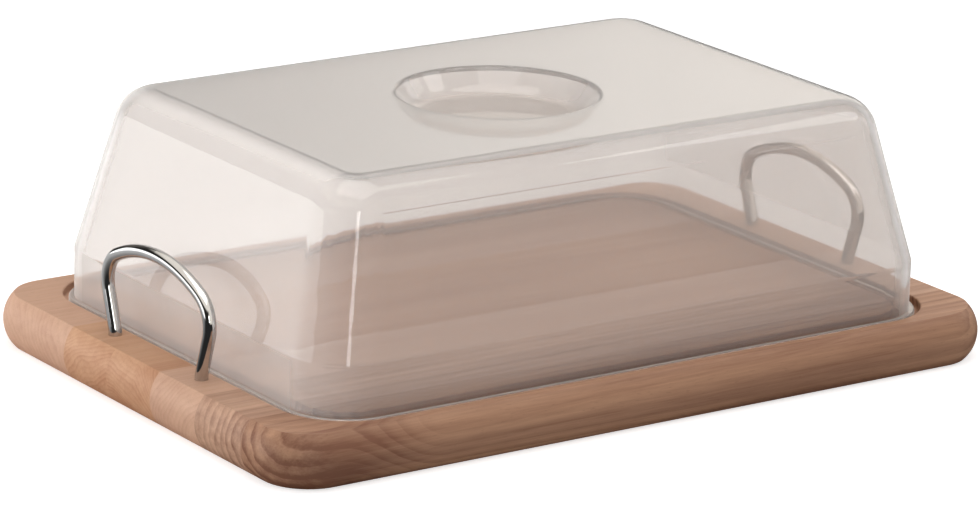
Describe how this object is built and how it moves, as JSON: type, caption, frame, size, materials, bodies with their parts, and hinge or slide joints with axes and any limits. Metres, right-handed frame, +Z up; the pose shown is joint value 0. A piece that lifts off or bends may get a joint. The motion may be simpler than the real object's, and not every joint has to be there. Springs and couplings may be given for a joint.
{
  "type": "cheese box",
  "caption": "Rectangular wooden serving board with bent wire end handles and a tall clear lift-off hood that stands in a routed groove and has a sunken round grip.",
  "frame": {"origin": "centre of the board's underside, on the surface that the box stands on", "axes": "+X along the board towards the right handle, +Y towards the back long side, +Z up through the hood's grip"},
  "size_m": [0.38, 0.26, 0.12],
  "materials": {
    "beech": "oiled, fine grained",
    "clear_plastic": "clear, faintly smoky, polished",
    "plated_wire": "bright plated",
    "screw_steel": "plain zinc"
  },
  "bodies": {
    "board": {"stave_1": "beech", "stave_2": "beech", "stave_3": "beech", "stave_4": "beech", "stave_5": "beech", "stave_6": "beech", "stave_7": "beech", "handle_left": "plated_wire", "handle_right": "plated_wire", "handle_screws": "screw_steel"},
    "hood": {"hood": "clear_plastic"}
  },
  "joints": [
    {"name": "hood_lift", "type": "slide", "parent": "board", "child": "hood", "axis": [0, 0, 1], "range_m": [0, 0.12]}
  ]
}
